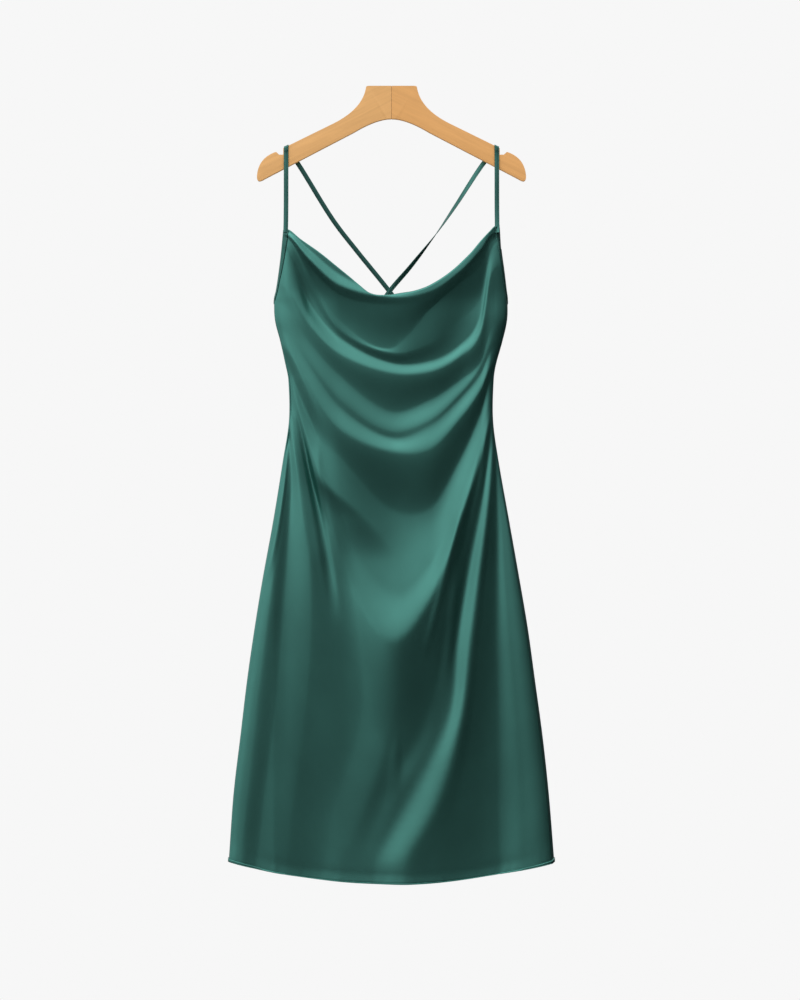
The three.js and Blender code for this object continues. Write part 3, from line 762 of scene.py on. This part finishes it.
def with_turned_edges(grid, out, roll, roll_rows):
    """A panel's rows with its top edge rolled inwards over a radius, and its hem turned up."""
    top_way = unit(grid[0] - grid[1])
    low_way = unit(grid[-1] - grid[-2])
    top_turn = turned(grid[0], out[0], top_way, roll, ROLL_STEPS)
    low_turn = turned(grid[-1], out[-1], low_way, HEM_ROLL, HEM_STEPS)
    facing = (grid - 2 * roll * out)[1:roll_rows]
    hem = (grid - 2 * HEM_ROLL * out)[-HEM_ROWS:-1]
    return np.concatenate([facing[::-1], top_turn[::-1], grid, low_turn, hem[::-1]])


def edge_places(points, normals, distances):
    """Points and normals at distances along runs of points that leave an edge. Each run has
    distances of its own."""
    steps = np.linalg.norm(np.diff(points, axis=1), axis=-1)
    gone = np.concatenate([np.zeros((len(points), 1)), steps.cumsum(axis=1)], axis=1)
    out = np.empty((2, *distances.shape, 3))
    for k in range(len(points)):
        for axis in range(3):
            out[0, k, :, axis] = np.interp(distances[k], gone[k], points[k, :, axis])
            out[1, k, :, axis] = np.interp(distances[k], gone[k], normals[k, :, axis])
    return out[0], unit(out[1])


def binding_sections(points, normals, widths):
    """A folded strip's closed sections round a panel's edge. Each goes down its outer side, round
    its fold and up its under side, and then back along its inside."""
    count = len(BINDING_SWELL)
    spots, outs = edge_places(points, normals, widths[:, None] * np.linspace(1, 0, count))
    edge, out = spots[:, -1], outs[:, -1]
    off = unit(edge - spots[:, -2])
    middle = edge - out * CLOTH / 2
    inside = BINDING_INNER * BINDING_INSIDE
    faces = [BINDING_INNER + (BINDING_OUTER - BINDING_INNER) * swell for swell in BINDING_SWELL]
    angles = np.linspace(BINDING_ROUND, math.pi - BINDING_ROUND, BINDING_ROUND_POINTS)

    def around(clear, angles):
        radius = clear + CLOTH / 2
        return [middle + radius * (math.cos(a) * out + math.sin(a) * off) for a in angles]

    outer = [spots[:, k] + faces[k] * outs[:, k] for k in range(count)]
    under = [spots[:, k] - (CLOTH + faces[k]) * outs[:, k] for k in reversed(range(count))]
    under_in = [spots[:, k] - (CLOTH + inside) * outs[:, k] for k in range(count)]
    outer_in = [spots[:, k] + inside * outs[:, k] for k in reversed(range(count))]
    ring = (outer + around(BINDING_OUTER, angles) + under + under_in
            + around(inside, angles[::-1]) + outer_in)
    return np.stack(ring, axis=1)


def strap_outline():
    """A strap's section: stitched ribs along both edges of a flat ribbon."""
    half, thick = STRAP_WIDTH / 2, STRAP_THICK / 2
    right = [(half - inset, share * thick) for inset, share in STRAP_TOP]
    top = right + [(-x, y) for x, y in right[-2::-1]]
    return np.array(top + [(x, -y) for x, y in top[-2:0:-1]])


def ribbon_sections(route, outline):
    """A strap's sections along its route, each the outline set square to the way it runs, with
    their middles and the ways across and out of the ribbon."""
    points = np.stack([route[name] for name in STRAP_COLUMNS.split()], axis=-1)
    path = catmull(points, STRAP_STEPS)
    place = path[:, :3]
    along = unit(np.gradient(place, axis=0))
    lean, turn = np.radians(path[:, 3]), np.radians(path[:, 4])
    across = np.stack([np.cos(lean), 0 * lean, np.sin(lean)], axis=-1)
    across = unit(across - along * (across * along).sum(axis=1, keepdims=True))
    side = np.cross(along, across)
    across = across * np.cos(turn)[:, None] + side * np.sin(turn)[:, None]
    facing = np.cross(across, along)
    sections = (place[:, None] + outline[None, :, :1] * across[:, None]
                + outline[None, :, 1:] * facing[:, None])
    return sections, place, across, facing


def stitch_rows(name, runs, material):
    """Small raised stitches along lines. A run has its points and the way out at each of them."""
    shape = np.array([(s, w) for s in STITCH_RINGS for w in range(STITCH_SIDES)])
    swell = STITCH_RADIUS * np.sqrt(1 - STITCH_BLUNT * shape[:, 0] ** 2)
    turn = shape[:, 1] * 2 * np.pi / STITCH_SIDES
    forwards = shape[:, :1] * STITCH_LENGTH / 2
    sideways = (swell * np.cos(turn))[:, None]
    outwards = (swell * np.sin(turn))[:, None]
    last = len(shape) - STITCH_SIDES
    verts, faces = [], []
    for points, outs in runs:
        gone = np.concatenate([[0], np.linalg.norm(np.diff(points, axis=0), axis=1).cumsum()])
        spots = np.arange(STITCH_PITCH / 2, gone[-1], STITCH_PITCH)

        def at(values, places):
            return np.stack([np.interp(places, gone, values[:, k]) for k in range(3)], axis=-1)

        centre = at(points, spots)
        out = unit(at(outs, spots))
        along = unit(at(points, spots + STITCH_AHEAD) - centre)
        side = unit(np.cross(along, out))
        for c, o, a, d in zip(centre, out, along, side):
            first = len(shape) * len(verts)
            verts.append(c + forwards * a + sideways * d + outwards * o)
            for ring in range(first, first + last, STITCH_SIDES):
                for w in range(STITCH_SIDES):
                    p = ring + w
                    q = ring + (w + 1) % STITCH_SIDES
                    faces.append((p, q, q + STITCH_SIDES, p + STITCH_SIDES))
            faces.append(tuple(range(first + STITCH_SIDES - 1, first - 1, -1)))
            faces.append(tuple(range(first + last, first + len(shape))))
    obj = turn_faces_out(add_object(name, np.concatenate(verts), faces))
    obj.data.materials.append(material)
    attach(obj, "root")


def catmull(points, steps):
    """A centripetal curve through points, with the same number of steps between each two."""
    padded = np.concatenate([[2 * points[0] - points[1]], points, [2 * points[-1] - points[-2]]])
    out = []
    for k in range(1, len(padded) - 2):
        p = padded[k - 1:k + 3]
        t = np.concatenate([[0], np.sqrt(np.linalg.norm(np.diff(p[:, :3], axis=0), axis=1)).cumsum()])
        for u in np.linspace(t[1], t[2], steps, endpoint=False):
            a = [(t[m + 1] - u) / (t[m + 1] - t[m]) * p[m]
                 + (u - t[m]) / (t[m + 1] - t[m]) * p[m + 1] for m in range(3)]
            b = [(t[m + 2] - u) / (t[m + 2] - t[m]) * a[m]
                 + (u - t[m]) / (t[m + 2] - t[m]) * a[m + 1] for m in range(2)]
            out.append((t[2] - u) / (t[2] - t[1]) * b[0] + (u - t[1]) / (t[2] - t[1]) * b[1])
    out.append(points[-1])
    return np.array(out)


def tube(name, sections):
    """A closed skin over a run of closed sections with the same number of points."""
    count, around = sections.shape[:2]
    index = np.arange(count * around).reshape(count, around)
    after = np.roll(index, -1, axis=1)
    faces = np.stack([index[:-1], after[:-1], after[1:], index[1:]], axis=-1).reshape(-1, 4)
    faces = faces.tolist() + [index[0][::-1].tolist(), index[-1].tolist()]
    girth = np.linspace(0, TUBE_GIRTH, around)[None, :] + np.zeros((count, 1))
    middle = sections.mean(axis=1)
    length = np.linalg.norm(np.diff(middle, axis=0, prepend=middle[:1]), axis=1).cumsum()
    uv = np.stack([girth, length[:, None] + 0 * girth], axis=-1).reshape(-1, 2)
    return turn_faces_out(add_object(name, sections.reshape(-1, 3), faces, uv))


def bend_curve(start, control, end, steps):
    """Points of a quadratic curve, without its first one."""
    t = np.linspace(0, 1, steps + 1)[1:, None]
    start, control, end = np.array(start), np.array(control), np.array(end)
    return ((1 - t) ** 2 * start + 2 * t * (1 - t) * control + t ** 2 * end).tolist()


def hanger_half(name, side):
    """One half of the wooden hanger, from the glue line to its tip, with rounded edges."""
    outline = [(HANGER_GAP, 0)]
    for _, control, steps, end in HANGER_RUNS:
        outline += bend_curve(outline[-1], control, end, steps) if control else [end]
    shape = bmesh.new()
    verts = [shape.verts.new((side * x * MM, -HANGER_THICK / 2 * MM, z * MM)) for x, z in outline]
    face = shape.faces.new(verts)
    raised = bmesh.ops.extrude_face_region(shape, geom=[face])["geom"]
    moved = [item for item in raised if isinstance(item, bmesh.types.BMVert)]
    bmesh.ops.translate(shape, verts=moved, vec=(0, HANGER_THICK * MM, 0))
    bmesh.ops.recalc_face_normals(shape, faces=shape.faces)
    rims = [edge for edge in shape.edges
            if edge.verts[0].co.y * edge.verts[1].co.y > 0
            and min(abs(v.co.x) for v in edge.verts) > HANGER_SQUARE * MM]
    bmesh.ops.bevel(shape, geom=rims, offset=HANGER_ROUND * MM, segments=HANGER_ROUND_STEPS,
                    profile=0.5, affect="EDGES", clamp_overlap=True)
    mesh = bpy.data.meshes.new(name)
    shape.to_mesh(mesh)
    shape.free()
    mesh.polygons.foreach_set("use_smooth",
                              [abs(face.normal.y) < HANGER_FLAT for face in mesh.polygons])
    mesh.set_sharp_from_angle(angle=math.radians(HANGER_SHARP))
    obj = bpy.data.objects.new(name, mesh)
    bpy.context.scene.collection.objects.link(obj)
    return obj


def glue_line(name):
    """The thin joint between the hanger's halves, a little below their faces."""
    y = HANGER_THICK / 2 - GLUE_DEPTH
    corners = [(side * GLUE_GAP, depth * y, z)
               for z in (-GLUE_DEPTH, ARCH_TOP_Z + GLUE_DEPTH)
               for depth in (-1, 1)
               for side in (-1, 1)]
    faces = [(0, 1, 5, 4), (1, 3, 7, 5), (3, 2, 6, 7), (2, 0, 4, 6), (0, 2, 3, 1), (4, 5, 7, 6)]
    return turn_faces_out(add_object(name, corners, faces))


# Materials

def socket_values(node, **values):
    """Sets a node's inputs by name, with an underscore for each space."""
    for name, value in values.items():
        node.inputs[name.replace("_", " ")].default_value = value


def plain_material(name, **values):
    """A material with a shader's plain values, and its nodes and links for what goes on."""
    material = bpy.data.materials.new(name)
    material.use_nodes = True
    tree = material.node_tree
    shader = tree.nodes["Principled BSDF"]
    socket_values(shader, **values)
    return material, tree.nodes, tree.links, shader


def tint(nodes, links, pattern, shader, base, tones):
    """Colours a shader by a pattern, between two shares of its plain colour."""
    ramp = nodes.new("ShaderNodeValToRGB")
    for element, (level, share) in zip(ramp.color_ramp.elements, tones):
        element.position = level
        element.color = (*[share * c for c in base], 1)
    links.new(pattern.outputs["Fac"], ramp.inputs["Fac"])
    links.new(ramp.outputs["Color"], shader.inputs["Base Color"])


def satin_material(name, base):
    """Satin: a deep sheen under a softer one, with slight changes of tone."""
    material, nodes, links, shader = plain_material(
        name, Metallic=0.95, Roughness=0.36, Specular_IOR_Level=0.4, Coat_Weight=0.35,
        Coat_Roughness=0.42)
    uv = nodes.new("ShaderNodeUVMap")
    uv.uv_map = "cloth"
    tone = nodes.new("ShaderNodeTexNoise")
    socket_values(tone, Scale=9, Detail=3)
    links.new(uv.outputs["UV"], tone.inputs["Vector"])
    tint(nodes, links, tone, shader, base, SATIN_TONES)
    return material


def wood_material(name, base, side):
    """Varnished wood whose grain runs along the hanger's arm. side is -1 for the left arm."""
    material, nodes, links, shader = plain_material(name, Roughness=0.42, Specular_IOR_Level=0.35)
    place = nodes.new("ShaderNodeTexCoord")
    along = nodes.new("ShaderNodeMapping")
    along.vector_type = "TEXTURE"
    along.inputs["Rotation"].default_value[1] = side * GRAIN_SLANT
    socket_values(along, Scale=GRAIN_SIZE)
    links.new(place.outputs["Object"], along.inputs["Vector"])
    grain = nodes.new("ShaderNodeTexNoise")
    socket_values(grain, Scale=1, Detail=5, Distortion=0.6)
    links.new(along.outputs["Vector"], grain.inputs["Vector"])
    tint(nodes, links, grain, shader, base, GRAIN_TONES)
    return material


def dress_piece(obj, material, slot_name, *nodes):
    """Gives a piece its material and its part in the frame."""
    obj.data.materials.append(material)
    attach(obj, "root")
    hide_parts(*nodes)
    return obj


# Light and surroundings

def area_light(name, place, target, size, power):
    data = bpy.data.lights.new(name, "AREA")
    data.shape = "RECTANGLE"
    data.size, data.size_y = size
    data.energy = power
    light = bpy.data.objects.new(name, data)
    light.location = place
    light.rotation_euler = (Vector(target) - Vector(place)).to_track_quat("-Z", "Y").to_euler()
    bpy.context.scene.collection.objects.link(light)


def make_world():
    """A pale ground behind the dress, soft light from above for what shines, and even light
    for what is matt."""
    world = bpy.data.worlds.new("studio")
    bpy.context.scene.world = world
    world.use_nodes = True
    nodes = world.node_tree.nodes
    links = world.node_tree.links
    seen = nodes["Background"]
    socket_values(seen, Color=(GROUND, GROUND, GROUND, 1))

    place = nodes.new("ShaderNodeTexCoord")
    lean = nodes.new("ShaderNodeMapping")
    lean.inputs["Rotation"].default_value[1] = math.radians(WORLD_LEAN)
    apart = nodes.new("ShaderNodeSeparateXYZ")
    links.new(place.outputs["Generated"], lean.inputs["Vector"])
    links.new(lean.outputs["Vector"], apart.inputs["Vector"])

    height = nodes.new("ShaderNodeMapRange")
    socket_values(height, From_Min=-1)
    ramp = nodes.new("ShaderNodeValToRGB")
    ramp.color_ramp.interpolation = "B_SPLINE"
    for element, level in zip(ramp.color_ramp.elements, WORLD_ENDS):
        element.color = (level, level, level, 1)
    for position, level in WORLD_LEVELS:
        ramp.color_ramp.elements.new(position).color = (level, level, level, 1)
    soft = nodes.new("ShaderNodeBackground")
    socket_values(soft, Strength=WORLD_STRENGTH)
    links.new(apart.outputs["Z"], height.inputs["Value"])
    links.new(height.outputs["Result"], ramp.inputs["Fac"])
    links.new(ramp.outputs["Color"], soft.inputs["Color"])

    matt = nodes.new("ShaderNodeMapRange")
    socket_values(matt, From_Min=-1, To_Min=MATT_LEVELS[0], To_Max=MATT_LEVELS[1])
    even = nodes.new("ShaderNodeBackground")
    socket_values(even, Color=(1, 1, 1, 1))
    links.new(apart.outputs["Z"], matt.inputs["Value"])
    links.new(matt.outputs["Result"], even.inputs["Strength"])

    path = nodes.new("ShaderNodeLightPath")
    shown = soft
    for ray, light in (("Is Diffuse Ray", even), ("Is Camera Ray", seen)):
        mix = nodes.new("ShaderNodeMixShader")
        links.new(path.outputs[ray], mix.inputs["Fac"])
        links.new(shown.outputs[0], mix.inputs[1])
        links.new(light.outputs[0], mix.inputs[2])
        shown = mix
    links.new(shown.outputs[0], nodes["World Output"].inputs["Surface"])


def make_floor():
    bpy.ops.mesh.primitive_circle_add(vertices=96, radius=FLOOR_RADIUS, fill_type="NGON",
                                      location=(0, 0, FLOOR_Z))
    floor = bpy.context.object
    floor.name = "floor"
    material = plain_material("floor", Base_Color=(0.8, 0.8, 0.8, 1), Roughness=0.8)[0]
    floor.data.materials.append(material)


# The pieces

def make_panels(satin):
    """Both panels, with their points and the ways out for what is sewn to them."""
    front = front_grid(FRONT_ROWS, FRONT_COLUMNS)
    back = back_grid(BACK_ROWS, BACK_COLUMNS)
    front_roll = read(ROLL, "x", "radius", front[0, :, 0])[:, None]
    made = {}
    for name, grid, roll, roll_rows, facing in (
            ("front", front, front_roll, FRONT_ROLL_ROWS, -1),
            ("back", back, BACK_ROLL, BACK_ROLL_ROWS, 1)):
        out = grid_normals(grid, facing)
        rows = with_turned_edges(grid, out, roll, roll_rows)
        faces = seam_normals(rows, grid_normals(rows, facing))
        piece = shell(name, rows, rows - CLOTH * faces, facing)
        dress_piece(piece, satin, "satin", name + "_panel")
        made[name] = (piece, grid, out)
    return made


def make_bindings(panels, edge_satin, thread):
    """The folded strips, which follow the panels' own points, and their stitches."""
    front, front_out = panels["front"][1:]
    back, back_out = panels["back"][1:]
    armhole = front[:, 0, 2] >= UNDERARM_Z
    left = np.s_[armhole, :ARMHOLE_COLUMNS]
    right = np.s_[armhole, :-ARMHOLE_COLUMNS - 1:-1]
    edges = {
        "armhole_binding_left": (front[left], front_out[left]),
        "armhole_binding_right": (front[right], front_out[right]),
        "back_neck_binding": (back[:BACK_NECK_ROWS].swapaxes(0, 1),
                              back_out[:BACK_NECK_ROWS].swapaxes(0, 1)),
    }
    stitches = []
    for name, (points, outs) in edges.items():
        widths = np.full(len(points), BINDING_WIDTH)
        if name.startswith("armhole"):
            widths = read(ARMHOLE_BAND, "z", "width", points[:, 0, 2])
        piece = tube(name + "_folded", binding_sections(points, outs, widths))
        dress_piece(piece, edge_satin, "satin_binding", name)
        spots, ways = edge_places(points, outs, widths[:, None] - STITCH_INSET)
        lift = BINDING_OUTER + BINDING_STITCH_LIFT
        stitches.append((spots[:, 0] + lift * ways[:, 0], ways[:, 0]))
    stitch_rows("binding_stitches", stitches, thread)


def make_straps(edge_satin, thread):
    """Both straps, with a line of stitches along each edge."""
    outline = strap_outline()
    stitches = []
    for name, route in STRAP_ROUTES.items():
        sections, place, across, facing = ribbon_sections(route, outline)
        piece = tube(name + "_ribbon", sections)
        dress_piece(piece, edge_satin, "satin_strap", name)
        for side in (-1, 1):
            sideways = side * (STRAP_WIDTH / 2 - STITCH_INSET)
            stitches.append((place + sideways * across + STRAP_THICK / 2 * facing, facing))
    stitch_rows("strap_stitches", stitches, thread)


def stitch_hems(panels, material):
    """The hem's stitches on both panels."""
    stitches = []
    bare = slice(HEM_STITCH_BARE, -HEM_STITCH_BARE)
    for _, grid, out in panels.values():
        upwards = slice(None, -HEM_STITCH_ROWS - 1, -1)
        spots, ways = edge_places(grid[upwards].swapaxes(0, 1), out[upwards].swapaxes(0, 1),
                                  np.full((grid.shape[1], 1), HEM_TURN))
        stitches.append((spots[bare, 0] + HEM_STITCH_LIFT * ways[bare, 0], ways[bare, 0]))
    stitch_rows("hem_stitches", stitches, material)


def make_hanger():
    """The hanger's two halves and the glue between them."""
    for (name, colour), side in zip(WOOD_COLOURS.items(), (-1, 1)):
        wood = wood_material(name + "_wood", colour, side)
        dress_piece(hanger_half(name, side), wood, "hanger_wood", "hanger")
    glue = wood_material("glue", GLUE_COLOUR, 1)
    dress_piece(glue_line("hanger_glue_line"), glue, "hanger_wood", "hanger")


make_camera()
make_world()
make_floor()
bpy.context.scene.view_settings.view_transform = "Standard"
for light in LIGHTS:
    area_light(*light)

satin = satin_material("green_satin", SATIN_COLOUR)
edge_satin = satin_material("green_satin_edge", EDGE_COLOUR)
thread = satin_material("green_thread", THREAD_COLOUR)

panels = make_panels(satin)
make_bindings(panels, edge_satin, thread)
make_straps(edge_satin, thread)
stitch_hems(panels, edge_satin)
make_hanger()
